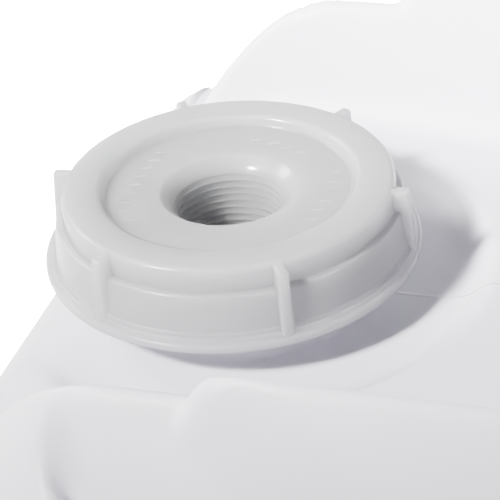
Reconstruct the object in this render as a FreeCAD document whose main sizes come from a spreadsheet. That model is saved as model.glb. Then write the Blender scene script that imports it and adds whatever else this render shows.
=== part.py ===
import FreeCAD, Part
import math
import os

import Sketcher
from FreeCAD import Placement, Rotation, Vector

# Fresh water tank: a tight-head blow-moulded jerrycan with an integral carrying handle, closed by a
# six-lug screw cap that seals on a flat gasket and carries a 3/4 inch pipe-threaded centre hole.
# Frame: X along the tank's length with the neck near the -X end, Y across it, Z up, origin on the
# floor under the middle of the tank. Millimetres.

SIZES = [
    ("tank_length", 295.0, "outside length along X"),
    ("tank_width", 248.0, "outside width along Y"),
    ("corner_round", 55.0, "plan radius of the four upright corners"),
    ("base_round", 22.0, "radius between the walls and the base"),
    ("wall", 3.0, "moulded wall thickness"),
    ("deck_top", 341.0, "height of the deck around the neck"),
    ("deck_round", 20.0, "radius between the deck and the end wall"),
    ("pad_top", 368.0, "height of the low shoulders beside the neck"),
    ("pad_round", 36.0, "radius between the low shoulders and the walls"),
    ("stack_top", 377.0, "height of the stacking blocks, the highest surface"),
    ("stack_round", 28.0, "radius between the stacking blocks and the walls"),
    ("valley_low", 124.0, "width of the valley between the shoulders at the deck"),
    ("valley_high", 164.0, "width of the valley at the top of the low shoulders"),
    ("block_low", 128.0, "distance between the stacking blocks at the deck"),
    ("block_high", 180.0, "distance between the stacking blocks at their tops"),
    ("block_start", 28.0, "start of the stacking blocks, from the neck axis"),
    ("block_slant", 55.0, "plan angle of the blocks' near faces"),
    ("block_end", 197.0, "end of the space between the blocks, from the neck axis"),
    ("groove_start", -12.5, "inner end of the shoulder grooves, from the neck axis"),
    ("groove_half", 84.0, "inner end of the shoulder grooves, from the middle plane"),
    ("groove_slant", 60.0, "plan angle of the shoulder grooves"),
    ("groove_radius", 10.0, "radius of the shoulder grooves"),
    ("neck_inset", 52.0, "distance from the end wall to the neck axis"),
    ("well_radius", 59.0, "edge radius of the well around the neck"),
    ("well_floor", 336.0, "height of the well floor"),
    ("well_floor_radius", 54.5, "radius of the well floor"),
    ("neck_radius", 32.6, "outside radius of the neck below its thread"),
    ("neck_bore", 29.0, "inside radius of the neck"),
    ("neck_top", 355.0, "height of the sealing rim"),
    ("lead", 4.233, "lead of the neck thread, six turns to the inch"),
    ("ridge_height", 2.0, "radial height of the neck and cap thread ridges"),
    ("pocket_start", 86.0, "near end of the handle pocket, from the neck axis"),
    ("pocket_end", 186.0, "far end of the handle pocket, from the neck axis"),
    ("pocket_low", 100.0, "width of the handle pocket at its floor"),
    ("pocket_high", 122.0, "width of the handle pocket at its mouth"),
    ("pocket_floor", 296.0, "height of the handle pocket's floor"),
    ("grip_width", 30.0, "width of the handle"),
    ("grip_top", 362.0, "height of the handle's top"),
    ("grip_under", 337.0, "height of the handle's underside"),
    ("grip_start", 70.0, "foot of the handle, from the neck axis"),
    ("panel_depth", 1.2, "depth of the side panels"),
    ("panel_round", 16.0, "corner radius of the side panels"),
    ("panel_length", 180.0, "length of the side panels"),
    ("panel_low", 62.0, "height of the side panels' lower edge"),
    ("panel_high", 272.0, "height of the side panels' upper edge"),
    ("foot_rim", 42.0, "width of the standing rim, from the walls"),
    ("foot_depth", 4.0, "rise of the base inside its standing rim"),
    ("cap_top", 363.0, "height of the closed cap's rim"),
    ("cap_radius", 38.4, "radius of the cap's upper band"),
    ("cap_ledge_radius", 40.0, "radius of the cap's skirt under its ledge"),
    ("cap_skirt_radius", 41.3, "radius of the cap's skirt above the flange"),
    ("cap_flange_radius", 43.7, "radius of the cap's flange"),
    ("cap_bottom", 344.7, "height of the closed cap's lower edge"),
    ("cap_plate", 357.0, "height of the underside of the cap's plate"),
    ("cap_bore", 35.6, "inside radius of the cap's skirt"),
    ("dish_radius", 29.6, "radius of the dished top at the rim"),
    ("dish_floor_radius", 28.4, "radius of the dished top at its floor"),
    ("dish_depth", 2.5, "depth of the dished top"),
    ("hub_radius", 17.4, "outside radius of the threaded hub"),
    ("hub_bottom", 340.5, "height of the hub's lower end"),
    ("mouth_round", 4.0, "radius of the hub's bell mouth"),
    ("rim_round", 2.8, "radius of the cap's outer rim"),
    ("pipe_crest", 12.1, "radius at the crests of the pipe thread"),
    ("pipe_root", 13.3, "radius at the roots of the pipe thread"),
    ("pipe_pitch", 1.814, "pitch of the pipe thread, 14 turns to the inch"),
    ("lug_count", 6.0, "number of grip lugs"),
    ("lug_width", 2.8, "thickness of each grip lug"),
    ("lug_radius", 41.8, "outer radius of a lug at its top"),
    ("lug_foot_radius", 43.2, "outer radius of a lug at the flange"),
    ("lug_phase", 3.8, "angle of the first lug from +X when closed"),
    ("gasket_inner", 29.4, "inside radius of the gasket"),
    ("gasket_outer", 34.8, "outside radius of the gasket"),
]

NECK_X = "(Sizes.neck_inset - Sizes.tank_length / 2)"
FAR = 400.0  # reach of a cutting tool past the tank


def make_sheet(doc):
    sheet = doc.addObject("Spreadsheet::Sheet", "Sizes")
    for row, (alias, value, note) in enumerate(SIZES, start=1):
        sheet.set(f"A{row}", alias)
        sheet.set(f"B{row}", str(value))
        sheet.set(f"C{row}", note)
        sheet.setAlias(f"B{row}", alias)
    doc.recompute()
    return sheet


def bind(obj, **formulas):
    for prop, formula in formulas.items():
        obj.setExpression(prop.replace("__", "."), str(formula))
    return obj


def size(obj, formula):
    return float(obj.evalExpression(str(formula)))


def origin_plane(body, role):
    for feature in body.Origin.OriginFeatures:
        if feature.Role == role:
            return feature
    raise ValueError(f"no origin feature {role}")


def add_body(doc, label):
    body = doc.addObject("PartDesign::Body", label)
    body.Label = label
    body.AllowCompound = False
    return body


def add_sketch(body, name, role):
    sketch = body.newObject("Sketcher::SketchObject", name)
    sketch.AttachmentSupport = [(origin_plane(body, role), "")]
    sketch.MapMode = "FlatFace"
    return sketch


def hold(sketch, kind, index, vertex, formula):
    # ties one coordinate of a vertex to the sheet, or to the sketch's axis where it is zero
    value = size(sketch, formula)
    if abs(value) < 1e-9:
        axis = -2 if kind == "DistanceX" else -1
        sketch.addConstraint(Sketcher.Constraint("PointOnObject", index, vertex, axis))
        return
    count = sketch.addConstraint(Sketcher.Constraint(kind, -1, 1, index, vertex, value))
    sketch.setExpression(f"Constraints[{count}]", str(formula))


def outline(sketch, corners):
    # closed outline of straight edges whose corners are pairs of sheet formulas
    points = [Vector(size(sketch, a), size(sketch, b), 0) for a, b in corners]
    total = len(points)
    for index in range(total):
        sketch.addGeometry(Part.LineSegment(points[index], points[(index + 1) % total]), False)
    for index in range(total):
        sketch.addConstraint(Sketcher.Constraint("Coincident", index, 2, (index + 1) % total, 1))
    for index, (a, b) in enumerate(corners):
        hold(sketch, "DistanceX", index, 1, a)
        hold(sketch, "DistanceY", index, 1, b)
    return sketch


def edges_where(shape, wanted):
    return [f"Edge{n}" for n, edge in enumerate(shape.Edges, start=1) if wanted(edge)]


def upright(edge):
    ends = edge.Vertexes
    if len(ends) != 2:
        return False
    step = ends[1].Point - ends[0].Point
    return abs(step.x) < 1e-6 and abs(step.y) < 1e-6


def level_at(height):
    def test(edge):
        box = edge.BoundBox
        return abs(box.ZMin - height) < 1e-5 and abs(box.ZMax - height) < 1e-5
    return test


def round_edges(doc, body, name, base, wanted, formula):
    fillet = body.newObject("PartDesign::Fillet", name)
    fillet.Base = (base, edges_where(base.Shape, wanted))
    bind(fillet, Radius=formula)
    doc.recompute()
    return fillet


def rounded_block(doc, label, inset, top, top_round, bottom="0", base_round="Sizes.base_round"):
    # block with rounded upright corners, a rounded base and a rounded top; inset moves every wall in
    body = add_body(doc, label)
    sketch = add_sketch(body, label + "Plan", "XY_Plane")
    half_x = f"(Sizes.tank_length / 2 - {inset})"
    half_y = f"(Sizes.tank_width / 2 - {inset})"
    outline(sketch, [(f"-{half_x}", f"-{half_y}"), (half_x, f"-{half_y}"),
                     (half_x, half_y), (f"-{half_x}", half_y)])
    bind(sketch, AttachmentOffset__Base__z=f"{bottom} + {inset}")
    doc.recompute()
    pad = body.newObject("PartDesign::Pad", label + "Rise")
    pad.Profile = sketch
    bind(pad, Length=f"{top} - {bottom} - 2 * {inset}")
    doc.recompute()
    corners = round_edges(doc, body, label + "Corners", pad, upright, f"Sizes.corner_round - {inset}")
    upper = level_at(size(pad, f"{top} - {inset}"))
    crown = round_edges(doc, body, label + "Crown", corners, upper, f"{top_round} - {inset}")
    lower = level_at(size(pad, f"{bottom} + {inset}"))
    round_edges(doc, body, label + "Foot", crown, lower, f"{base_round} - {inset}")
    return body


def flared_box(doc, name, x_low, x_high, low_width, high_width, z_low, z_high, slope="0"):
    # box along X whose width grows with height; slope widens its length by the same rule
    wedge = doc.addObject("Part::Wedge", name)
    bind(wedge, Xmin=x_low, Xmax=x_high, X2min=f"{x_low} - {slope}", X2max=f"{x_high} + {slope}")
    bind(wedge, Zmin=f"-({low_width}) / 2", Zmax=f"({low_width}) / 2")
    bind(wedge, Z2min=f"-({high_width}) / 2", Z2max=f"({high_width}) / 2")
    bind(wedge, Ymin="0", Ymax=f"({z_high}) - ({z_low})")
    wedge.Placement = Placement(Vector(0, 0, 0), Rotation(Vector(1, 0, 0), 90))
    bind(wedge, Placement__Base__z=z_low)
    return wedge


def cylinder(doc, name, radius, z_low, z_high, x="0"):
    rod = doc.addObject("Part::Cylinder", name)
    bind(rod, Radius=radius, Height=f"({z_high}) - ({z_low})")
    bind(rod, Placement__Base__z=z_low, Placement__Base__x=x)
    return rod


def cut(doc, name, base, tool):
    step = doc.addObject("Part::Cut", name)
    step.Base = base
    step.Tool = tool
    return step


def fuse(doc, name, pieces):
    step = doc.addObject("Part::MultiFuse", name)
    step.Shapes = pieces
    return step


def slant_box(doc, name, side, inset):
    # everything on the neck side of one stacking block's slanting face
    tool = doc.addObject("Part::Box", name)
    tool.Length = 2 * FAR
    tool.Width = FAR
    tool.Height = FAR
    angle = math.radians(size(tool, "Sizes.block_slant"))
    start_x = size(tool, f"{NECK_X} + Sizes.block_start + 1.2 * {inset}")
    start_y = size(tool, "Sizes.block_high / 2")
    along = Vector(math.cos(angle), side * math.sin(angle), 0)
    corner = Vector(start_x, side * start_y, 200) - along * FAR
    turn = side * math.degrees(angle)
    if side < 0:
        corner = corner + Vector(-math.sin(angle), -math.cos(angle), 0) * FAR
    tool.Placement = Placement(corner, Rotation(Vector(0, 0, 1), turn))
    return tool


def groove(doc, name, side, inset):
    # round-bottomed groove that runs outward and down across a low shoulder
    rod = doc.addObject("Part::Cylinder", name)
    bind(rod, Radius=f"Sizes.groove_radius + {inset}")
    rod.Height = 130
    angle = math.radians(size(rod, "Sizes.groove_slant"))
    run = Vector(math.cos(angle), side * math.sin(angle), -0.5)
    start_x = size(rod, f"{NECK_X} + Sizes.groove_start")
    start_y = side * size(rod, "Sizes.groove_half")
    lift = size(rod, "Sizes.pad_top + Sizes.groove_radius")
    start = Vector(start_x, start_y, lift)
    rod.Placement = Placement(start, Rotation(Vector(0, 0, 1), run))
    return rod


def grip(doc, label, inset):
    # carrying handle: an arch along X whose feet stand on the deck
    body = add_body(doc, label)
    sketch = add_sketch(body, label + "Side", "XZ_Plane")
    foot = f"({NECK_X} + Sizes.grip_start + {inset})"
    far_foot = f"({NECK_X} + Sizes.block_end + 12 mm / 1 mm - {inset})"
    top = f"(Sizes.grip_top - {inset})"
    under = f"(Sizes.grip_under + {inset})"
    deck = "(Sizes.deck_top - 8)"
    outline(sketch, [
        (foot, deck), (foot, "Sizes.deck_top - 3"), (f"{foot} + 26", top), (f"{far_foot} - 14", top),
        (far_foot, "Sizes.deck_top - 3"), (far_foot, deck),
        (f"{NECK_X} + Sizes.pocket_end + 3 + {inset}", deck),
        (f"{NECK_X} + Sizes.pocket_end - 9 + {inset}", under),
        (f"{NECK_X} + Sizes.pocket_start + 9 - {inset}", under),
        (f"{NECK_X} + Sizes.pocket_start - 3 - {inset}", deck)])
    doc.recompute()
    pad = body.newObject("PartDesign::Pad", label + "Bar")
    pad.Profile = sketch
    pad.Midplane = True
    bind(pad, Length=f"Sizes.grip_width - 2 * {inset}")
    doc.recompute()
    return body


def foot_recess(doc, name, inset):
    # shallow recess that leaves the tank standing on a rim
    recess = doc.addObject("Part::Box", name)
    bind(recess, Length=f"Sizes.tank_length - 2 * Sizes.foot_rim + 2 * {inset}")
    bind(recess, Width=f"Sizes.tank_width - 2 * Sizes.foot_rim + 2 * {inset}")
    bind(recess, Height=f"Sizes.foot_depth + {inset} + 1")
    bind(recess, Placement__Base__x=f"Sizes.foot_rim - Sizes.tank_length / 2 - {inset}")
    bind(recess, Placement__Base__y=f"Sizes.foot_rim - Sizes.tank_width / 2 - {inset}")
    bind(recess, Placement__Base__z="-1")
    return recess


def tank_form(doc, tag, inset):
    # the moulded form without its neck: the outer skin at inset 0, the inner skin at one wall
    deck = rounded_block(doc, tag + "Deck", inset, "Sizes.deck_top", "Sizes.deck_round")
    pads = rounded_block(doc, tag + "Pads", inset, "Sizes.pad_top", "Sizes.pad_round")
    blocks = rounded_block(doc, tag + "Blocks", inset, "Sizes.stack_top", "Sizes.stack_round")
    valley = flared_box(doc, tag + "Valley", f"-{FAR}", f"{NECK_X} + Sizes.block_end + {inset}",
                        f"Sizes.valley_low + 2 * {inset}", f"Sizes.valley_high + 2 * {inset}",
                        f"Sizes.deck_top - {inset}", f"Sizes.pad_top - {inset}")
    space = flared_box(doc, tag + "Space", f"-{FAR}", f"{NECK_X} + Sizes.block_end + {inset}",
                       f"Sizes.block_low + 2 * {inset}", f"Sizes.block_high + 2 * {inset}",
                       f"Sizes.deck_top - {inset}", f"Sizes.stack_top + 1")
    doc.recompute()
    shoulders = cut(doc, tag + "Shoulders", pads, valley)
    raised = cut(doc, tag + "Raised", blocks, space)
    left = cut(doc, tag + "LeftFace", raised, slant_box(doc, tag + "SlantLeft", 1, inset))
    both = cut(doc, tag + "BothFaces", left, slant_box(doc, tag + "SlantRight", -1, inset))
    crown = fuse(doc, tag + "Crown", [deck, shoulders, both])
    well = doc.addObject("Part::Cone", tag + "Well")
    bind(well, Radius1=f"Sizes.well_floor_radius + {inset}", Radius2=f"Sizes.well_radius + {inset} + 5")
    bind(well, Height="2 * (Sizes.deck_top - Sizes.well_floor)")
    bind(well, Placement__Base__x=NECK_X, Placement__Base__z=f"Sizes.well_floor - {inset}")
    pocket = flared_box(doc, tag + "Pocket", f"{NECK_X} + Sizes.pocket_start - {inset}",
                        f"{NECK_X} + Sizes.pocket_end + {inset}",
                        f"Sizes.pocket_low + 2 * {inset}", f"Sizes.pocket_high + 2 * {inset}",
                        f"Sizes.pocket_floor - {inset}", "Sizes.stack_top")
    doc.recompute()
    welled = cut(doc, tag + "Welled", crown, well)
    hollowed = cut(doc, tag + "Hollowed", welled, pocket)
    left_groove = cut(doc, tag + "GroovedLeft", hollowed, groove(doc, tag + "GrooveLeft", 1, inset))
    grooved = cut(doc, tag + "GroovedRight", left_groove, groove(doc, tag + "GrooveRight", -1, inset))
    raised_base = cut(doc, tag + "RaisedBase", grooved, foot_recess(doc, tag + "FootRecess", inset))
    doc.recompute()
    return fuse(doc, tag + "Form", [raised_base, grip(doc, tag + "Grip", inset)])


def helix_ridge(doc, name, radius, profile, lead, start_height, turns):
    # solid swept by a small closed profile along a right-handed helix about the upright axis
    helix = Part.makeHelix(lead, lead * turns, radius)
    corners = [Vector(radius + x, 0, y) for x, y in profile]
    wire = Part.makePolygon(corners + corners[:1])
    ridge = doc.addObject("Part::Feature", name)
    ridge.Shape = Part.Wire(helix).makePipeShell([wire], True, True)
    ridge.Placement = Placement(Vector(0, 0, start_height), Rotation())
    return ridge


def side_panels(doc):
    # shallow rounded recesses in the two long walls
    body = add_body(doc, "PanelPrism")
    sketch = add_sketch(body, "PanelOutline", "XZ_Plane")
    half = "(Sizes.panel_length / 2)"
    outline(sketch, [(f"-{half}", "Sizes.panel_low"), (half, "Sizes.panel_low"),
                     (half, "Sizes.panel_high"), (f"-{half}", "Sizes.panel_high")])
    doc.recompute()
    pad = body.newObject("PartDesign::Pad", "PanelPad")
    pad.Profile = sketch
    pad.Midplane = True
    bind(pad, Length="Sizes.tank_width + 20")
    doc.recompute()
    round_edges(doc, body, "PanelCorners", pad, along_y, "Sizes.panel_round")
    core = doc.addObject("Part::Box", "PanelCore")
    bind(core, Length="Sizes.tank_length", Width="Sizes.tank_width - 2 * Sizes.panel_depth")
    bind(core, Height="Sizes.stack_top")
    bind(core, Placement__Base__x="-Sizes.tank_length / 2")
    bind(core, Placement__Base__y="Sizes.panel_depth - Sizes.tank_width / 2")
    return cut(doc, "PanelRecesses", body, core)


def along_y(edge):
    box = edge.BoundBox
    return box.XLength < 1e-6 and box.ZLength < 1e-6


def build_tank(doc, sheet):
    outer = tank_form(doc, "Skin", "0")
    inner = tank_form(doc, "Hollow", "Sizes.wall")
    paneled = cut(doc, "PaneledSkin", outer, side_panels(doc))
    neck = cylinder(doc, "Neck", "Sizes.neck_radius", "Sizes.well_floor - 6", "Sizes.neck_top", NECK_X)
    lead = sheet.get("lead")
    high = sheet.get("ridge_height")
    # outer thread: two turns of a trapezoidal ridge, its foot sunk in the neck wall
    profile = [(-0.5, -1.25), (high, -0.75), (high, 0.75), (-0.5, 1.25)]
    first = sheet.get("cap_top") - 18.2
    thread = helix_ridge(doc, "NeckThread", sheet.get("neck_radius"), profile, lead, first, 2.0)
    thread.Placement = Placement(Vector(size(neck, NECK_X), 0, first), Rotation())
    bore = cylinder(doc, "NeckBore", "Sizes.neck_bore", "Sizes.well_floor - 30", "Sizes.neck_top + 1", NECK_X)
    doc.recompute()
    necked = fuse(doc, "NeckedSkin", [paneled, neck, thread])
    hollowed = cut(doc, "HollowedTank", necked, inner)
    tank = cut(doc, "tank_shell", hollowed, bore)
    tank.Label = "tank_shell"
    doc.recompute()
    return tank


def cap_profile(body):
    # half section of the cap about its own axis, heights measured from the floor
    sketch = add_sketch(body, "CapSection", "XZ_Plane")
    low = "Sizes.cap_bottom"
    top = "Sizes.cap_top"
    floor = "(Sizes.cap_top - Sizes.dish_depth)"
    return outline(sketch, [
        ("Sizes.pipe_crest", "Sizes.hub_bottom"),
        ("Sizes.hub_radius - 0.8", "Sizes.hub_bottom"),
        ("Sizes.hub_radius", "Sizes.cap_plate"),
        ("Sizes.cap_bore", "Sizes.cap_plate"),
        ("Sizes.cap_bore", f"{low} + 4"),
        ("Sizes.cap_bore + 1.4", f"{low} + 2.6"),
        ("Sizes.cap_bore + 1.4", low),
        ("Sizes.cap_flange_radius", low),
        ("Sizes.cap_flange_radius", f"{low} + 2.4"),
        ("Sizes.cap_skirt_radius + 1.3", f"{low} + 2.4"),
        ("Sizes.cap_skirt_radius + 1.1", f"{low} + 3.3"),
        ("Sizes.cap_skirt_radius + 0.5", f"{low} + 3.3"),
        ("Sizes.cap_skirt_radius + 0.4", f"{low} + 4.3"),
        ("Sizes.cap_skirt_radius", f"{low} + 4.3"),
        ("Sizes.cap_ledge_radius", f"{top} - 5.6"),
        ("Sizes.cap_radius", f"{top} - 5.6"),
        ("Sizes.cap_radius - 0.2", top),
        ("Sizes.dish_radius", top),
        ("Sizes.dish_floor_radius", floor),
        ("Sizes.pipe_crest", floor)])


def ring_at(radius, height):
    def test(edge):
        box = edge.BoundBox
        flat = abs(box.ZMin - height) < 1e-4 and abs(box.ZMax - height) < 1e-4
        return flat and abs(box.XMax - radius) < 1e-3
    return test


def build_cap(doc, sheet):
    body = add_body(doc, "CapBody")
    section = cap_profile(body)
    doc.recompute()
    turned = body.newObject("PartDesign::Revolution", "CapTurned")
    turned.Profile = section
    turned.ReferenceAxis = (section, ["V_Axis"])
    turned.Angle = 360
    doc.recompute()
    top = sheet.get("cap_top")
    floor = top - sheet.get("dish_depth")
    mouth = round_edges(doc, body, "HubMouth", turned, ring_at(sheet.get("pipe_crest"), floor),
                        "Sizes.mouth_round")
    rim = round_edges(doc, body, "Rim", mouth, ring_at(sheet.get("cap_radius") - 0.2, top), "Sizes.rim_round")
    lip = round_edges(doc, body, "DishLip", rim, ring_at(sheet.get("dish_radius"), top), "0.8")
    foot = round_edges(doc, body, "FlangeFoot", lip,
                       ring_at(sheet.get("cap_flange_radius"), sheet.get("cap_bottom")), "1.2")
    side = add_sketch(body, "LugSide", "XZ_Plane")
    outline(side, [
        ("Sizes.cap_radius - 2.2", "Sizes.cap_bottom + 1"),
        ("Sizes.lug_foot_radius", "Sizes.cap_bottom + 1"),
        ("Sizes.lug_radius", "Sizes.cap_top - 1.4"),
        ("Sizes.lug_radius - 1", "Sizes.cap_top - 0.3"),
        ("Sizes.cap_radius - 2.2", "Sizes.cap_top - 0.3")])
    doc.recompute()
    lug = body.newObject("PartDesign::Pad", "Lug")
    lug.Profile = side
    lug.Midplane = True
    bind(lug, Length="Sizes.lug_width")
    doc.recompute()
    lugs = body.newObject("PartDesign::PolarPattern", "Lugs")
    lugs.Originals = [lug]
    lugs.Axis = (origin_plane(body, "Z_Axis"), [""])
    lugs.Angle = 360
    bind(lugs, Occurrences="Sizes.lug_count")
    body.Tip = lugs
    doc.recompute()
    return finish_cap(doc, sheet, body)


def finish_cap(doc, sheet, body):
    # adds the inner thread, cuts the pipe thread and sets the cap on the neck
    lead = sheet.get("lead")
    high = sheet.get("ridge_height")
    profile = [(0.5, -1.25), (-high, -0.75), (-high, 0.75), (0.5, 1.25)]
    first = sheet.get("cap_top") - 18.2 + lead / 2
    ridge = helix_ridge(doc, "CapThread", sheet.get("cap_bore"), profile, lead, first, 1.5)
    crest = sheet.get("pipe_crest")
    depth = sheet.get("pipe_root") - crest
    slope = math.tan(math.radians(30))
    flat = 0.06
    mouth = flat + (depth + 0.05) * slope
    notch = [(-0.05, -mouth), (depth, -flat), (depth, flat), (-0.05, mouth)]
    pitch = sheet.get("pipe_pitch")
    start = sheet.get("hub_bottom") - 2.0
    mouth_foot = sheet.get("cap_top") - sheet.get("dish_depth") - sheet.get("mouth_round")
    turns = (mouth_foot - 0.9 - start) / pitch
    pipe = helix_ridge(doc, "PipeThread", crest, notch, pitch, start, turns)
    doc.recompute()
    tapped = cut(doc, "TappedCap", body, pipe)
    doc.recompute()
    cap = doc.addObject("Part::Fuse", "screw_cap")
    cap.Base = tapped
    cap.Tool = ridge
    cap.Label = "screw_cap"
    cap.Placement = Placement(Vector(size(cap, NECK_X), 0, 0),
                              Rotation(Vector(0, 0, 1), sheet.get("lug_phase")))
    doc.recompute()
    return cap


def build_gasket(doc):
    body = add_body(doc, "cap_gasket")
    section = add_sketch(body, "GasketSection", "XZ_Plane")
    outline(section, [
        ("Sizes.gasket_inner", "Sizes.neck_top"), ("Sizes.gasket_outer", "Sizes.neck_top"),
        ("Sizes.gasket_outer", "Sizes.cap_plate"), ("Sizes.gasket_inner", "Sizes.cap_plate")])
    doc.recompute()
    turned = body.newObject("PartDesign::Revolution", "GasketTurned")
    turned.Profile = section
    turned.ReferenceAxis = (section, ["V_Axis"])
    turned.Angle = 360
    bind(body, Placement__Base__x=NECK_X)
    doc.recompute()
    return body


def check(doc, pieces):
    for obj in doc.Objects:
        if "Invalid" in obj.State or "Error" in obj.State:
            raise RuntimeError(f"{obj.Name} is {obj.State}")
    for piece in pieces:
        if piece.Shape.isNull() or not piece.Shape.isValid():
            raise RuntimeError(f"{piece.Label} has no valid shape")
        if len(piece.Shape.Solids) != 1:
            raise RuntimeError(f"{piece.Label} has {len(piece.Shape.Solids)} solids")


def main():
    doc = FreeCAD.newDocument("FreshWaterTank")
    sheet = make_sheet(doc)
    pieces = [build_tank(doc, sheet), build_cap(doc, sheet), build_gasket(doc)]
    doc.recompute()
    check(doc, pieces)
    os.makedirs("parts", exist_ok=True)
    for piece in pieces:
        piece.Shape.exportStep(f"parts/{piece.Label}.step")
        box = piece.Shape.optimalBoundingBox(False, False)
        print(piece.Label, round(piece.Shape.Volume / 1000, 1), "cm3", box)


main()
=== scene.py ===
import bpy
import bmesh
import math
from mathutils import Matrix, Vector


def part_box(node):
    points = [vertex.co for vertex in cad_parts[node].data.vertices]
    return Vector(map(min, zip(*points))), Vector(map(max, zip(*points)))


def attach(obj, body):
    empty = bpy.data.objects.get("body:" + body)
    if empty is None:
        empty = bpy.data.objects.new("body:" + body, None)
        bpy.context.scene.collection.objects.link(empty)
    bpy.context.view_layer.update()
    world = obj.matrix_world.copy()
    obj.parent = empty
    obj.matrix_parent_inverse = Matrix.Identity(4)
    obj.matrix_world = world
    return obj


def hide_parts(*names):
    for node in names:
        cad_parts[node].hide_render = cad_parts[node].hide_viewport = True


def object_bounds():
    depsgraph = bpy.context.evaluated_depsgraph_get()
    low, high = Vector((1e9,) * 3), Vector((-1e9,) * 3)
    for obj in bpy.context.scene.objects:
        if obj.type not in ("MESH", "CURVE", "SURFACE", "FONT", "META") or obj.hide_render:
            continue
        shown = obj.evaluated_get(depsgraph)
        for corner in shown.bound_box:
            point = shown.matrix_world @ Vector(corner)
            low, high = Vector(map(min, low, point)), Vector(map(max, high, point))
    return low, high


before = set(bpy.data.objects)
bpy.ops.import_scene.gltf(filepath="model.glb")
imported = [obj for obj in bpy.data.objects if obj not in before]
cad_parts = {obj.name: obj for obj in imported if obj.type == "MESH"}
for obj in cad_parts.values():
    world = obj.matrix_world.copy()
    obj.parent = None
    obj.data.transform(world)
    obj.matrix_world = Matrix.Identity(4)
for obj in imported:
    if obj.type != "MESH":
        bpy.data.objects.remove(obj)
cadLow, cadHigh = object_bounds()
mm = 0.001
print("frame loaded")

capLow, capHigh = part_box("screw_cap")
axisX = (capLow.x + capHigh.x) / 2  # the neck's axis
axisY = (capLow.y + capHigh.y) / 2
rimZ = capHigh.z  # top of the closed cap, the level that heights below are counted from
neckX, neckY, rimLevel = axisX / mm, axisY / mm, rimZ / mm


def hexColour(code):
    # sRGB hex to linear
    parts = [int(code[i:i + 2], 16) / 255 for i in (1, 3, 5)]
    return tuple(c / 12.92 if c <= 0.04045 else ((c + 0.055) / 1.055) ** 2.4 for c in parts) + (1.0,)


def addNode(tree, kind, settings=None, inputs=None):
    node = tree.nodes.new(kind)
    for key, value in (settings or {}).items():
        setattr(node, key, value)
    for key, value in (inputs or {}).items():
        if isinstance(value, bpy.types.NodeSocket):
            tree.links.new(value, node.inputs[key])
        else:
            node.inputs[key].default_value = value
    return node


def blankMaterial(name):
    material = bpy.data.materials.new(name)
    material.use_nodes = True
    material.node_tree.nodes.clear()
    return material, material.node_tree


def smoothStep(low, high, value):
    t = min(max((value - low) / (high - low), 0.0), 1.0)
    return t * t * (3 - 2 * t)


def softMin(a, b, k):
    # the lower of two heights, with a fillet of about k where they cross
    t = max(k - abs(a - b), 0.0) / k
    return min(a, b) - t * t * k * 0.25


def softMax(a, b, k):
    return -softMin(-a, -b, k)


def makePiece(name, mesh, material):
    piece = bpy.data.objects.new(name, mesh)
    bpy.context.scene.collection.objects.link(piece)
    mesh.materials.clear()
    mesh.materials.append(material)
    mesh.shade_smooth()
    return piece


def meshFrom(bm, name):
    mesh = bpy.data.meshes.new(name)
    bm.to_mesh(mesh)
    bm.free()
    return mesh


def booleanMesh(base, tool, operation):
    # one boolean between two meshes, worked out and returned as a mesh
    first = bpy.data.objects.new("baseTmp", base)
    second = bpy.data.objects.new("toolTmp", tool)
    for item in (first, second):
        bpy.context.scene.collection.objects.link(item)
    step = first.modifiers.new("step", "BOOLEAN")
    step.operation = operation
    step.solver = "EXACT"
    step.object = second
    bpy.context.view_layer.update()
    graph = bpy.context.evaluated_depsgraph_get()
    made = bpy.data.meshes.new_from_object(first.evaluated_get(graph))
    for item in (first, second):
        bpy.data.objects.remove(item)
    return made


# camera, at the height and turn of a person looking down on the cap

# lens and distance in mm, the rest in degrees
camera = {"lens": 139.45, "distance": 441.7,
          "lift": 30.25, "yaw": 0.46, "tip": -2.17, "roll": -5.45, "turn": 20.3}


def turned(first, second, angle):
    # two directions at right angles, both turned by the angle in their own plane
    cosine, sine = math.cos(angle), math.sin(angle)
    return cosine * first + sine * second, cosine * second - sine * first


def placeCamera():
    lift, yaw, tip, roll, turn = (math.radians(camera[k]) for k in ("lift", "yaw", "tip", "roll", "turn"))
    spot = Vector((0, -math.cos(lift), math.sin(lift))) * camera["distance"] * mm
    ahead = Vector((0, math.cos(lift), -math.sin(lift)))
    right = Vector((1, 0, 0))
    up = Vector((0, math.sin(lift), math.cos(lift)))
    ahead, right = turned(ahead, right, yaw)
    ahead, up = turned(ahead, up, tip)
    right, up = turned(right, up, roll)
    swing = Matrix.Rotation(turn, 3, "Z")
    spot, ahead, right, up = swing @ spot, swing @ ahead, swing @ right, swing @ up
    data = bpy.data.cameras.new("viewCamera")
    data.lens = camera["lens"]
    data.sensor_width = 36
    data.clip_start = 0.01
    data.clip_end = 60
    holder = bpy.data.objects.new("viewCamera", data)
    bpy.context.scene.collection.objects.link(holder)
    turnTo = Matrix((right, up, -ahead)).transposed().to_4x4()
    holder.matrix_world = Matrix.Translation(spot + Vector((axisX, axisY, rimZ))) @ turnTo
    bpy.context.scene.camera = holder


placeCamera()
print("camera placed")


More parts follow.
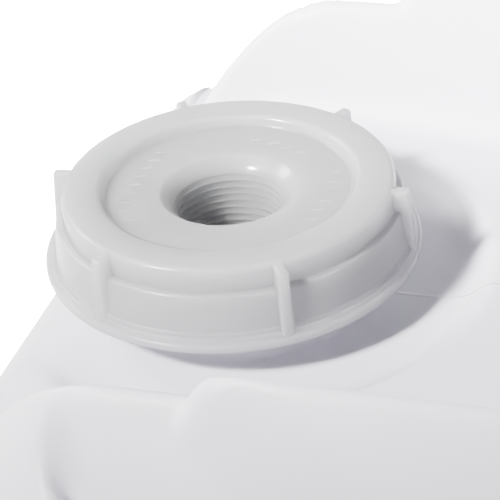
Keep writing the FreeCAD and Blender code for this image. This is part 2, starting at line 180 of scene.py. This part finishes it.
def tankPlastic():
    # blow-moulded high density polyethylene, opaque white: satin, faintly waxy, with a fine blasted grain
    material, tree = blankMaterial("whiteBlowMouldedPolyethylene")
    place = addNode(tree, "ShaderNodeTexCoord").outputs["Object"]
    # clouds 45 mm across, a 0.7 mm grain and a 17 mm ripple
    cloud = addNode(tree, "ShaderNodeTexNoise", {}, {"Vector": place, "Scale": 22.0, "Detail": 3.0})
    grain = addNode(tree, "ShaderNodeTexNoise", {}, {"Vector": place, "Scale": 1400.0, "Detail": 2.0})
    waves = addNode(tree, "ShaderNodeTexNoise", {}, {"Vector": place, "Scale": 60.0, "Detail": 1.0})
    tint = addNode(tree, "ShaderNodeMix", {"data_type": "RGBA"}, {
        "Factor": cloud.outputs["Fac"], "A": hexColour("#EDEBF5"), "B": hexColour("#F1EFF7")})
    sheen = addNode(tree, "ShaderNodeMapRange", {}, {
        "Value": cloud.outputs["Fac"], "To Min": 0.42, "To Max": 0.5})
    ripple = addNode(tree, "ShaderNodeBump", {}, {
        "Height": waves.outputs["Fac"], "Strength": 0.15, "Distance": 0.0006})
    axes = addNode(tree, "ShaderNodeSeparateXYZ", {}, {0: place})
    # a thin ridge where the two mould halves met, along the middle of the tank
    offLine = addNode(tree, "ShaderNodeMath", {"operation": "ABSOLUTE"}, {0: axes.outputs["Y"]})
    parting = addNode(tree, "ShaderNodeMapRange", {"interpolation_type": "SMOOTHSTEP"}, {
        "Value": offLine.outputs[0], "From Min": 0.0001, "From Max": 0.0007, "To Min": 1.0, "To Max": 0.0})
    line = addNode(tree, "ShaderNodeBump", {}, {
        "Height": parting.outputs["Result"], "Strength": 0.6, "Distance": 0.0005,
        "Normal": ripple.outputs["Normal"]})
    bump = addNode(tree, "ShaderNodeBump", {}, {
        "Height": grain.outputs["Fac"], "Strength": 0.08, "Distance": 0.0002,
        "Normal": line.outputs["Normal"]})
    skin = addNode(tree, "ShaderNodeBsdfPrincipled", {}, {
        "Base Color": tint.outputs["Result"], "Roughness": sheen.outputs["Result"], "IOR": 1.53,
        "Normal": bump.outputs["Normal"], "Subsurface Weight": 0.12, "Subsurface Radius": (1.0, 1.0, 1.0),
        "Subsurface Scale": 0.002})
    addNode(tree, "ShaderNodeOutputMaterial", {}, {"Surface": skin.outputs["BSDF"]})
    return material


def capPlastic():
    # injection-moulded natural polypropylene, unpigmented: milky, lets light through, highlights on its edges
    material, tree = blankMaterial("naturalMouldedPolypropylene")
    place = addNode(tree, "ShaderNodeTexCoord").outputs["Object"]
    # clouds 14 mm across and a 1.1 mm orange peel
    cloud = addNode(tree, "ShaderNodeTexNoise", {}, {"Vector": place, "Scale": 70.0, "Detail": 4.0})
    fine = addNode(tree, "ShaderNodeTexNoise", {}, {"Vector": place, "Scale": 900.0, "Detail": 2.0})
    # the grey base, darker than the milky white plastic itself, is painted shade that stands in for the light
    # lost inside the translucent cap
    tint = addNode(tree, "ShaderNodeMix", {"data_type": "RGBA"}, {
        "Factor": cloud.outputs["Fac"], "A": hexColour("#B6B6B8"), "B": hexColour("#C0C0C1")})
    sheen = addNode(tree, "ShaderNodeMapRange", {}, {
        "Value": cloud.outputs["Fac"], "To Min": 0.14, "To Max": 0.22})
    bump = addNode(tree, "ShaderNodeBump", {}, {
        "Height": fine.outputs["Fac"], "Strength": 0.05, "Distance": 0.0002})
    skin = addNode(tree, "ShaderNodeBsdfPrincipled", {}, {
        "Base Color": tint.outputs["Result"], "Roughness": sheen.outputs["Result"], "IOR": 1.49,
        "Normal": bump.outputs["Normal"], "Subsurface Weight": 1.0, "Subsurface Radius": (1.0, 1.0, 1.0),
        "Subsurface Scale": 0.018})
    through = addNode(tree, "ShaderNodeBsdfTranslucent", {}, {"Color": hexColour("#DCDCDC")})
    milky = addNode(tree, "ShaderNodeMixShader", {}, {
        0: 0.3, 1: skin.outputs["BSDF"], 2: through.outputs["BSDF"]})
    addNode(tree, "ShaderNodeOutputMaterial", {}, {"Surface": milky.outputs["Shader"]})
    return material


def sealFoam():
    # closed-cell polyethylene foam gasket: matt, off-white, fine open pores
    material, tree = blankMaterial("polyethyleneFoamSeal")
    place = addNode(tree, "ShaderNodeTexCoord").outputs["Object"]
    pores = addNode(tree, "ShaderNodeTexVoronoi", {}, {"Vector": place, "Scale": 1600.0})  # 0.6 mm
    # the pore hollows, dimpled by the bump below, are also painted darker: painted shade in the pores
    tint = addNode(tree, "ShaderNodeMix", {"data_type": "RGBA"}, {
        "Factor": pores.outputs["Distance"], "A": hexColour("#D8D7D2"), "B": hexColour("#E8E7E2")})
    bump = addNode(tree, "ShaderNodeBump", {}, {
        "Height": pores.outputs["Distance"], "Strength": 0.3, "Distance": 0.0002})
    skin = addNode(tree, "ShaderNodeBsdfPrincipled", {}, {
        "Base Color": tint.outputs["Result"], "Roughness": 0.85, "IOR": 1.5,
        "Normal": bump.outputs["Normal"]})
    addNode(tree, "ShaderNodeOutputMaterial", {}, {"Surface": skin.outputs["BSDF"]})
    return material


whitePlastic, milkyPlastic, foam = tankPlastic(), capPlastic(), sealFoam()
print("materials made")


# mm; heights of the top are counted from the cap's rim, those of the walls and base from the ground
tank = {
    "halfLength": (cadHigh.x - cadLow.x) / 2 / mm, "halfWidth": (cadHigh.y - cadLow.y) / 2 / mm,
    "corner": 55.0,
    "rings": 96, "edgeRings": 26, "edgeBand": 26.0, "crowd": 0.3, "deckRound": 25.0, "sideRound": 14.0,
    "floor": -27.0, "wellReach": 54.0, "lipReach": 61.0, "lipHeight": 5.5, "deckEdge": -22,
    "flankFoot": 72.0, "flankSlope": 2.08, "outerSlope": 1.45, "outerFoot": -46.0,
    "crest": 85.0, "crestTop": 6.6, "endStart": 3, "endFall": 0.037, "farWall": 190.0,
    "blockRaise": 15.5, "blockTop": 16.0,
    "grooveStart": (-12.6, 86.9), "grooveRun": (0.832, 0.555), "grooveDepth": 14.0, "grooveHalf": 3.6,
    "pocketStart": 86.0, "pocketEnd": 186.0, "pocketHalf": 58.0, "pocketFloor": -67.0, "pocketSlope": 3.4,
    "panelHalf": (90.0, 105.0), "panelMiddle": 167.0, "panelRound": 16.0, "panelDepth": 1.2,
    "wallTop": 285, "baseRound": 22, "skinThick": 3, "neckRadius": 32.6, "boreRadius": 29,
}


def outerHeight(x, out):
    # outer face of a shoulder: falls away from its crest, and sinks towards the end wall
    level = tank["crestTop"] - tank["endFall"] * max(0.0, tank["endStart"] - x) ** 2
    return softMax(level - tank["outerSlope"] * (out - tank["crest"]), tank["outerFoot"], 16.0)


def blockRise(x, out):
    # how far a stacking block stands over the shoulder, behind a near end that curves back as it goes down
    start = softMax(min(26.0, 23 - 1.2 * (out - 84)), 17.5 + 2.3 * max(0.0, out - 90.5), 3.0)
    into = (x - start) / (1.5 + smoothStep(88, 93, out))
    return softMax(0.0, softMin(2.6 * into, tank["blockRaise"], 7.0), 1.4)


def grooveDip(x, out):
    # narrow groove that runs down each shoulder's outer face, towards the handle
    dx, dy = x - tank["grooveStart"][0], out - tank["grooveStart"][1]
    along, across = tank["grooveRun"]
    run = dx * along + dy * across
    off = -dx * across + dy * along
    fade = 1 - smoothStep(106, 120, out)  # dies out before the top's edge
    dip = tank["grooveDepth"] * smoothStep(1, 13, run) * fade
    return dip * math.exp(-abs(off / tank["grooveHalf"]) ** 2.2)


def deckHeight(x, y):
    # the well around the neck, with a raised lip that fades towards the end wall
    reach = math.hypot(x, y)
    lip = tank["lipHeight"] * smoothStep(-40, -5, x)
    bowl = softMax(tank["floor"], tank["floor"] + 0.9 * (reach - tank["wellReach"]), 3.0)
    rim = tank["floor"] + lip - 0.2 * max(0.0, reach - tank["lipReach"])
    deck = softMin(bowl, rim, 1.6) if lip > 0.01 else tank["floor"]
    return softMax(deck, tank["floor"] - 1.0, 3.0)


def topHeight(x, y):
    # height of the tank's top over a point, counted from the cap's rim; x and y in mm from the neck axis
    out = abs(y)
    rise = blockRise(x, out)
    outer = min(outerHeight(x, out), 40.0) + rise - grooveDip(x, out)
    outer = softMin(outer, tank["blockTop"], 6.0)
    flank = tank["deckEdge"] + tank["flankSlope"] * (out - tank["flankFoot"])
    far = tank["deckEdge"] + tank["flankSlope"] * (x - tank["farWall"])
    side = softMin(outer, softMax(flank, far, 8.0), 7.0 - 3.0 * smoothStep(0, 6, rise))
    return softMax(deckHeight(x, y), side, 9.0)


def gripShape(x, y, z):
    # the handle's feet swell out of the deck, and the pocket falls away under the handle
    out = abs(y)
    foot = softMin(-27 + 1.35 * (x - 70), -1.0, 10.0)
    flank = -1.0 - 1.8 * max(0.0, out - 8)
    if 60 < x < 110 or x > 170:
        z = softMax(z, softMin(foot, flank, 6.0), 5.0)
    near = tank["pocketSlope"] * (tank["pocketStart"] - x)
    farSide = tank["pocketSlope"] * (x - tank["pocketEnd"])
    sides = tank["pocketSlope"] * (out - tank["pocketHalf"])
    bowl = softMax(softMax(near, farSide, 14.0), sides, 14.0) - 24
    bowl = softMax(bowl, tank["pocketFloor"], 14.0)
    return softMin(z, bowl, 5.0)


def ringPoint(a, b, inset):
    # a point of the plan outline moved in by inset; a and b run round the unit square
    halfX, halfY = tank["halfLength"] - inset, tank["halfWidth"] - inset
    radius = max(tank["corner"] - inset, 1.0)
    px, py = a * halfX, b * halfY
    cx = min(max(px, radius - halfX), halfX - radius)
    cy = min(max(py, radius - halfY), halfY - radius)
    dx, dy = px - cx, py - cy
    span = math.hypot(dx, dy)
    if span < 1e-9:
        return px, py
    return cx + dx / span * radius, cy + dy / span * radius


def tankTop(bm):
    # a grid drawn out to the plan's outline in rings, each point lifted to the height of the top there
    rings = tank["rings"] + tank["edgeRings"]
    bmesh.ops.create_grid(bm, x_segments=2 * rings, y_segments=2 * rings, size=1.0)
    inner = tank["rings"] / rings
    band = tank["edgeBand"]
    for vert in bm.verts:
        u, v = vert.co.x, vert.co.y
        u += tank["crowd"] * (u * u - 1)  # rows crowd towards the neck, where the shape is finest
        ring = max(abs(u), abs(v))
        if ring < 1e-9:
            x, y = 0.0, 0.0
        elif ring <= inner + 1e-6:
            scale = ring / inner
            x, y = ringPoint(u / ring, v / ring, band)
            x, y, inset = x * scale, y * scale, band
        else:
            angle = math.pi / 2 * (1 - (ring - inner) / (1 - inner))
            inset = band * (1 - math.cos(angle))
            x, y = ringPoint(u / ring, v / ring, inset)
        px = x - neckX
        z = gripShape(px, y, topHeight(px, y))
        if ring > inner:
            share = smoothStep(70, 90, abs(y))
            radius = tank["deckRound"] + (tank["sideRound"] - tank["deckRound"]) * share
            if inset < radius:
                z -= radius * (1 - math.sqrt(max(0.0, 1 - ((radius - inset) / radius) ** 2)))
        vert.co = Vector((x, y, z + rimLevel))
    bmesh.ops.remove_doubles(bm, verts=bm.verts[:], dist=0.001)


def wallLevels():
    # heights of the wall's rows, close together where the panel's border bends
    levels = [284, 276, 272.6, 271.2, 269.8, 266, 258]
    levels += [258 - 26 * k for k in range(1, 7)]
    levels += [80, 68, 64.2, 62.8, 61.4, 58, 46, 32, 22]
    return levels


def panelDip(x, z):
    # shallow rounded panel in the long walls
    corner = tank["panelRound"]
    dx = abs(x) - (tank["panelHalf"][0] - corner)
    dz = abs(z - tank["panelMiddle"]) - (tank["panelHalf"][1] - corner)
    edge = math.hypot(max(dx, 0.0), max(dz, 0.0)) + min(max(dx, dz), 0.0) - corner
    return tank["panelDepth"] * (1 - smoothStep(-2.0, 0.6, edge))


def nextRow(bm, border, level):
    # carries the open border down to the next level; returns its new points and the new border
    made = bmesh.ops.extrude_edge_only(bm, edges=border)["geom"]
    fresh = [g for g in made if isinstance(g, bmesh.types.BMVert)]
    for vert in fresh:
        vert.co.z = level
    return fresh, [g for g in made if isinstance(g, bmesh.types.BMEdge) and g.is_boundary]


def tankWalls(bm):
    border = [e for e in bm.edges if e.is_boundary]
    for level in wallLevels():
        border = nextRow(bm, border, level)[1]
    return border


def shapeWalls(bm):
    half = tank["halfWidth"]
    for vert in bm.verts:
        x, y, z = vert.co
        if z < tank["wallTop"] and abs(abs(y) - half) < 0.01:
            vert.co.y = math.copysign(half - panelDip(x, z), y)


def insetPoint(x, y, inset):
    # moves a point of the outline from the last inset to this one
    halfX, halfY = tank["halfLength"] - tank["corner"], tank["halfWidth"] - tank["corner"]
    cx = min(max(x, -halfX), halfX)
    cy = min(max(y, -halfY), halfY)
    dx, dy = x - cx, y - cy
    span = math.hypot(dx, dy)
    goal = tank["corner"] - inset
    return cx + dx / span * goal, cy + dy / span * goal


def tankBase(bm, border):
    # quarter-round into the base, then a shallow push-up inside the standing rim
    bend = tank["baseRound"]
    turns = [math.radians(a) for a in range(18, 91, 18)]
    steps = [(bend * (1 - math.cos(turn)), bend - bend * math.sin(turn)) for turn in turns]
    steps += [(30, 0), (38, 0), (40, 0.6), (44, 3.4), (46, 4.0)]
    for inset, level in steps:
        fresh, border = nextRow(bm, border, level)
        for vert in fresh:
            vert.co.x, vert.co.y = insetPoint(vert.co.x, vert.co.y, inset)
    bmesh.ops.contextual_create(bm, geom=border)


def spinProfile(bm, profile, steps):
    # turns a closed section of (radius, height) corners about the neck axis, in mm
    verts = [bm.verts.new((neckX + r, neckY, rimLevel + z)) for r, z in profile]
    edges = [bm.edges.new((a, b)) for a, b in zip(verts, verts[1:])]
    if profile[0][0] > 0:
        edges.append(bm.edges.new((verts[-1], verts[0])))
    bmesh.ops.spin(bm, geom=verts + edges, cent=(neckX, neckY, 0), axis=(0, 0, 1), angle=math.tau,
                   steps=steps, use_merge=True)
    bmesh.ops.remove_doubles(bm, verts=bm.verts[:], dist=0.0005)
    bmesh.ops.recalc_face_normals(bm, faces=bm.faces[:])


def neckSolid():
    # upright neck with a small fillet where it leaves the floor of the well
    bm = bmesh.new()
    radius = tank["neckRadius"]
    profile = [(0, -36), (36.5, -36), (36.0, -27.4), (34.2, -26.6), (33.0, -25.0), (radius, -22.5),
               (radius, -8.8), (32.2, -8.0), (0, -8.0)]
    spinProfile(bm, profile, 96)
    return meshFrom(bm, "neckSolid")


screw = {"lead": 4.233, "foot": 1.25, "tip": 0.6, "sink": 0.5}  # mm; the tip is a share of the foot


def screwRidge(radius, height, start, turns, steps):
    # trapezoidal screw ridge; height is counted outward, and is negative for a ridge inside a bore
    bm = bmesh.new()
    side, foot = math.copysign(screw["sink"], height), screw["foot"]
    section = [(radius - side, -foot), (radius + height, -foot * screw["tip"]),
               (radius + height, foot * screw["tip"]), (radius - side, foot)]
    verts = [bm.verts.new((neckX + r, neckY, rimLevel + start + z)) for r, z in section]
    edges = [bm.edges.new((verts[k], verts[(k + 1) % 4])) for k in range(4)]
    bmesh.ops.spin(bm, geom=verts + edges, cent=(neckX, neckY, 0), axis=(0, 0, 1), angle=math.tau * turns,
                   dvec=(0, 0, screw["lead"] * turns / steps), steps=steps, use_merge=False)
    bmesh.ops.holes_fill(bm, edges=[e for e in bm.edges if e.is_boundary], sides=4)
    bmesh.ops.recalc_face_normals(bm, faces=bm.faces[:])
    return meshFrom(bm, "screwRidge")


handle = {"low": -48.0, "top": -1.0, "under": -26.0, "halfWidth": 15.0, "cornerRound": 5, "edgeRound": 7}


def handleSolid():
    # carrying handle: an arch with well-rounded edges whose feet sink into the deck
    low, top, under, half = handle["low"], handle["top"], handle["under"], handle["halfWidth"]
    side = [(70, low), (70, -30), (97, top), (184, top), (208, -30), (208, low), (180, low), (174, under),
            (98, under), (92, low)]
    bm = bmesh.new()
    verts = [bm.verts.new((neckX + x, -half, rimLevel + z)) for x, z in side]
    face = bm.faces.new(verts)
    made = bmesh.ops.extrude_face_region(bm, geom=[face])["geom"]
    farSide = [g for g in made if isinstance(g, bmesh.types.BMVert)]
    bmesh.ops.translate(bm, vec=(0, 2 * half, 0), verts=farSide)
    across = [e for e in bm.edges if abs(e.verts[0].co.y - e.verts[1].co.y) > 1]
    across = [e for e in across if e.verts[0].co.z > rimLevel - 31]
    bmesh.ops.bevel(bm, geom=across, offset=handle["cornerRound"], segments=6, profile=0.5, affect="EDGES",
                    material=-1)
    rims = [e for e in bm.edges if abs(e.verts[0].co.y - e.verts[1].co.y) < 1e-4 and len(e.link_faces) == 2]
    rims = [e for e in rims if abs(abs(e.verts[0].co.y) - half) < 1e-3]
    bmesh.ops.bevel(bm, geom=rims, offset=handle["edgeRound"], segments=6, profile=0.5, affect="EDGES",
                    material=-1, clamp_overlap=True)
    bmesh.ops.remove_doubles(bm, verts=bm.verts[:], dist=0.01)
    bmesh.ops.recalc_face_normals(bm, faces=bm.faces[:])
    return meshFrom(bm, "handle")


def hollowSolid():
    # the inside of the tank and the bore of its neck
    bm = bmesh.new()
    bmesh.ops.create_cube(bm, size=1.0)
    walls = 2 * tank["skinThick"]
    room = (2 * tank["halfLength"] - walls, 2 * tank["halfWidth"] - walls, 286)
    bmesh.ops.scale(bm, vec=room, verts=bm.verts[:])
    bmesh.ops.translate(bm, vec=(0, 0, 150), verts=bm.verts[:])
    upright = [e for e in bm.edges if abs(e.verts[0].co.z - e.verts[1].co.z) > 1]
    bmesh.ops.bevel(bm, geom=upright, offset=52, segments=10, profile=0.5, affect="EDGES", material=-1)
    level = [e for e in bm.edges if abs(e.verts[0].co.z - e.verts[1].co.z) < 1e-4]
    level = [e for e in level if e.calc_face_angle(0) > 0.5]
    bmesh.ops.bevel(bm, geom=level, offset=18, segments=5, profile=0.5, affect="EDGES", material=-1)
    box = meshFrom(bm, "hollowBox")
    bm = bmesh.new()
    bore = tank["boreRadius"]
    spinProfile(bm, [(0, -80), (bore, -80), (bore, -8.6), (29.6, -8.0), (29.6, -4.0), (0, -4.0)], 96)
    return booleanMesh(box, meshFrom(bm, "neckBore"), "UNION")


def closedMesh(mesh):
    # welds the stray points the cuts leave and fills the pinholes between them
    bm = bmesh.new()
    bm.from_mesh(mesh)
    bmesh.ops.remove_doubles(bm, verts=bm.verts[:], dist=0.002)
    bmesh.ops.holes_fill(bm, edges=[edge for edge in bm.edges if edge.is_boundary], sides=0)
    return meshFrom(bm, mesh.name)


def buildTank():
    bm = bmesh.new()
    tankTop(bm)
    border = tankWalls(bm)
    tankBase(bm, border)
    shapeWalls(bm)
    bmesh.ops.recalc_face_normals(bm, faces=bm.faces[:])
    skin = meshFrom(bm, "tankSkin")
    print("tank skin", len(skin.polygons))
    skin = booleanMesh(skin, handleSolid(), "UNION")
    skin = booleanMesh(skin, neckSolid(), "UNION")
    skin = booleanMesh(skin, screwRidge(tank["neckRadius"], 2.0, -18.2, 2.0, 144), "UNION")
    skin = closedMesh(booleanMesh(skin, hollowSolid(), "DIFFERENCE"))
    skin.transform(Matrix.Scale(mm, 4))
    piece = makePiece("tankSkin", skin, whitePlastic)
    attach(piece, "tank")
    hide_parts("tank_shell")


buildTank()
print("tank built")


# mm; radii from the neck's axis, heights from the rim
cap = {"rim": 38.2, "band": 38.4, "ledge": 40.0, "ledgeLow": -5.6, "skirt": 41.3, "flange": 43.7,
       "flangeTop": -15.9, "low": -18.3, "bore": 35.6, "plate": -6.0, "hub": 16.6, "hubLow": -22.5,
       "hole": 12.1, "root": 13.3, "tapInner": 11.8, "tapLow": -26.2, "tapTurns": 11, "pitch": 1.814,
       "dish": 29.6, "dishIn": 28.4, "dishLow": -2.5, "dash": (2.6, 0.5, 0.7), "dashTurn": 20.3,
       "lugs": 6, "phase": 3.8, "lugIn": 36.4, "lugTop": (41.9, 1.25, -0.35), "lugFoot": (43.1, 1.5, -17.0)}


def ringEdges(bm, radius, height):
    # the round edge at this radius and height
    found = []
    for edge in bm.edges:
        ends = [(math.hypot(v.co.x - neckX, v.co.y - neckY), v.co.z - rimLevel) for v in edge.verts]
        if all(abs(r - radius) < 0.02 and abs(z - height) < 0.02 for r, z in ends):
            found.append(edge)
    return found


def capBody():
    # the cap's section turned about its axis, from the flared mouth of the hole round to the dish
    bm = bmesh.new()
    mouth = [(16.2, cap["dishLow"]), (15.5, -2.95), (14.6, -3.6), (13.7, -4.4), (13.0, -5.2), (12.5, -6.1),
             (12.2, -7.1), (cap["hole"], -8.2)]
    hub = [(cap["hole"], cap["hubLow"]), (cap["hub"], cap["hubLow"]), (17.4, cap["plate"])]
    inside = [(cap["bore"], cap["plate"]), (cap["bore"], -14.3), (37.0, -15.7), (37.0, cap["low"])]
    foot = [(cap["flange"], cap["low"]), (cap["flange"], cap["flangeTop"]), (42.6, cap["flangeTop"]),
            (42.4, -15.0), (41.8, -15.0), (41.7, -14.0), (cap["skirt"], -14.0)]
    top = [(cap["ledge"], cap["ledgeLow"]), (cap["band"], cap["ledgeLow"]), (cap["rim"], 0.0),
           (cap["dish"], 0.0), (cap["dishIn"], cap["dishLow"])]
    spinProfile(bm, mouth + hub + inside + foot + top, 192)
    rounds = [  # radius and height of the edge, size of its rounding, steps
        (cap["rim"], 0.0, 1.3, 6), (cap["dish"], 0.0, 0.9, 4), (cap["dishIn"], cap["dishLow"], 0.6, 3),
        (cap["flange"], cap["low"], 1.2, 4), (cap["flange"], cap["flangeTop"], 0.6, 3),
        (42.6, cap["flangeTop"], 0.2, 1), (42.4, -15.0, 0.3, 2), (41.7, -14.0, 0.2, 1),
        (cap["ledge"], cap["ledgeLow"], 0.5, 4), (cap["band"], cap["ledgeLow"], 0.4, 2),
        (cap["hub"], cap["hubLow"], 0.8, 2)]
    for radius, height, size, steps in rounds:
        bmesh.ops.bevel(bm, geom=ringEdges(bm, radius, height), offset=size, segments=steps, profile=0.5,
                        affect="EDGES", material=-1)
    bmesh.ops.recalc_face_normals(bm, faces=bm.faces[:])
    return meshFrom(bm, "capBody")


def lugMesh(angle):
    # one grip lug: a thin upright rib, a little wider at its foot
    bm = bmesh.new()
    bmesh.ops.create_cube(bm, size=1.0)
    for vert in bm.verts:
        reach, half, level = cap["lugTop"] if vert.co.z > 0 else cap["lugFoot"]
        if vert.co.x < 0:
            reach = cap["lugIn"]
        vert.co = Vector((reach, math.copysign(half, vert.co.y), level))
    edges = [e for e in bm.edges if e.verts[0].co.x > 40 or e.verts[1].co.x > 40]
    edges = [e for e in edges if not (e.verts[0].co.z < -10 and e.verts[1].co.z < -10)]
    bmesh.ops.bevel(bm, geom=edges, offset=0.75, segments=4, profile=0.5, affect="EDGES", material=-1)
    turn = Matrix.Rotation(math.radians(angle), 4, "Z")
    bmesh.ops.transform(bm, matrix=Matrix.Translation((neckX, neckY, rimLevel)) @ turn, verts=bm.verts[:])
    bmesh.ops.recalc_face_normals(bm, faces=bm.faces[:])
    return meshFrom(bm, "lug")


def pipeTap():
    # solid with the pipe thread's own form, a true helix, taken out of the hub
    bm = bmesh.new()
    pitch, turns, inner, outer = cap["pitch"], cap["tapTurns"], cap["tapInner"], cap["root"]
    tooth = [(inner, 0.0), (outer - 0.08, 0.44), (outer, 0.48), (outer, 0.54), (outer - 0.08, 0.58)]
    points = [(r, pitch * (turn + share)) for turn in range(turns) for r, share in tooth]
    points.append((inner, pitch * turns))
    base = rimLevel + cap["tapLow"]
    verts = [bm.verts.new((neckX + r, neckY, base + z)) for r, z in points]
    edges = [bm.edges.new((a, b)) for a, b in zip(verts, verts[1:])]
    steps = 120
    bmesh.ops.spin(bm, geom=verts + edges, cent=(neckX, neckY, 0), axis=(0, 0, 1), angle=math.tau,
                   dvec=(0, 0, pitch / steps), steps=steps, use_merge=False)
    bmesh.ops.remove_doubles(bm, verts=bm.verts[:], dist=0.002)
    bmesh.ops.holes_fill(bm, edges=[e for e in bm.edges if e.is_boundary], sides=0)
    bmesh.ops.recalc_face_normals(bm, faces=bm.faces[:])
    return meshFrom(bm, "pipeTap")


def dashMesh():
    # short plain raised bars on the dished floor, set level along arcs to the left, right and back
    bm = bmesh.new()
    left = [(148, 24.5), (157, 23.2), (166, 22.4), (176, 22.0), (186, 22.2), (196, 23.0), (205, 24.0),
            (214, 24.8), (224, 25.2)]
    right = [(-24, 24.6), (-14, 23.8), (-4, 23.4), (6, 23.6), (16, 24.2), (26, 25.0)]
    back = [(58, 22.0), (68, 21.6), (78, 21.8), (90, 22.4)]
    tilt = Matrix.Rotation(math.radians(cap["dashTurn"]), 3, "Z")
    for angle, reach in left + right + back:
        made = bmesh.ops.create_cube(bm, size=1.0)["verts"]
        spot = Matrix.Rotation(math.radians(angle), 4, "Z") @ Vector((reach, 0, cap["dishLow"]))
        bmesh.ops.scale(bm, vec=cap["dash"], verts=made)
        bmesh.ops.rotate(bm, cent=(0, 0, 0), matrix=tilt, verts=made)
        bmesh.ops.translate(bm, vec=spot + Vector((axisX, axisY, rimZ)) / mm, verts=made)
    tops = [e for e in bm.edges if all(vert.co.z > rimLevel - 2.4 for vert in e.verts)]
    bmesh.ops.bevel(bm, geom=tops, offset=0.2, segments=3, profile=0.5, affect="EDGES", material=-1)
    return meshFrom(bm, "dashes")


def buildCap():
    body = capBody()
    print("cap body", len(body.polygons))
    body = booleanMesh(body, screwRidge(cap["bore"], -2.0, -16.1, 1.5, 108), "UNION")
    body = booleanMesh(body, pipeTap(), "DIFFERENCE")
    for number in range(cap["lugs"]):
        body = booleanMesh(body, lugMesh(cap["phase"] + 360 / cap["lugs"] * number), "UNION")
    body = booleanMesh(body, dashMesh(), "UNION")
    body.transform(Matrix.Scale(mm, 4))
    piece = makePiece("capShell", body, milkyPlastic)
    body.set_sharp_from_angle(angle=math.radians(38))
    piece.modifiers.new("evenShade", "WEIGHTED_NORMAL").keep_sharp = True
    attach(piece, "cap")
    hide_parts("screw_cap")


buildCap()
print("cap built")

seal = bpy.data.objects["cap_gasket"]
for slot in seal.material_slots:
    slot.material = foam
print("seal covered")


def buildStage():
    # plain pale floor, wide enough to fill every view
    bm = bmesh.new()
    bmesh.ops.create_grid(bm, x_segments=1, y_segments=1, size=6.0)
    mesh = meshFrom(bm, "studioFloor")
    material, tree = blankMaterial("paleStudioFloor")
    place = addNode(tree, "ShaderNodeTexCoord").outputs["Object"]
    cloud = addNode(tree, "ShaderNodeTexNoise", {}, {"Vector": place, "Scale": 3.0})
    tint = addNode(tree, "ShaderNodeMix", {"data_type": "RGBA"}, {
        "Factor": cloud.outputs["Fac"], "A": hexColour("#FBFBFB"), "B": hexColour("#FDFDFD")})
    skin = addNode(tree, "ShaderNodeBsdfPrincipled", {}, {
        "Base Color": tint.outputs["Result"], "Roughness": 0.9})
    addNode(tree, "ShaderNodeOutputMaterial", {}, {"Surface": skin.outputs["BSDF"]})
    floor = makePiece("studioFloor", mesh, material)


def addLight(name, spot, aim, size, power, spread=180):
    data = bpy.data.lights.new(name, "AREA")
    data.size = size
    data.energy = power
    data.spread = math.radians(spread)
    lamp = bpy.data.objects.new(name, data)
    bpy.context.scene.collection.objects.link(lamp)
    lamp.location = spot
    lamp.rotation_euler = (Vector(aim) - Vector(spot)).to_track_quat("-Z", "Y").to_euler()


def buildLights():
    # narrow key from the front left, a side light beyond the neck's end, and one that only whitens the floor
    world = bpy.data.worlds.new("studioAir")
    bpy.context.scene.world = world
    world.use_nodes = True
    tree = world.node_tree
    tree.nodes.clear()
    air = addNode(tree, "ShaderNodeBackground", {}, {"Color": (0.97, 0.98, 1.0, 1), "Strength": 0.2})
    addNode(tree, "ShaderNodeOutputWorld", {}, {"Surface": air.outputs["Background"]})
    addLight("keyLight", (axisX - 0.53, -0.68, 1.2), (0.03, 0.21, 0.34), 0.2, 2.9, 23)  # narrow, so few watts
    addLight("sideLight", (-1.5, 0.4, 1.2), (axisX, 0, 0.34), 0.45, 38)
    addLight("floorLight", (-0.8, 0.95, 1.1), (-0.75, 0.9, 0), 0.6, 420, 70)


buildStage()
buildLights()
print("studio lit")
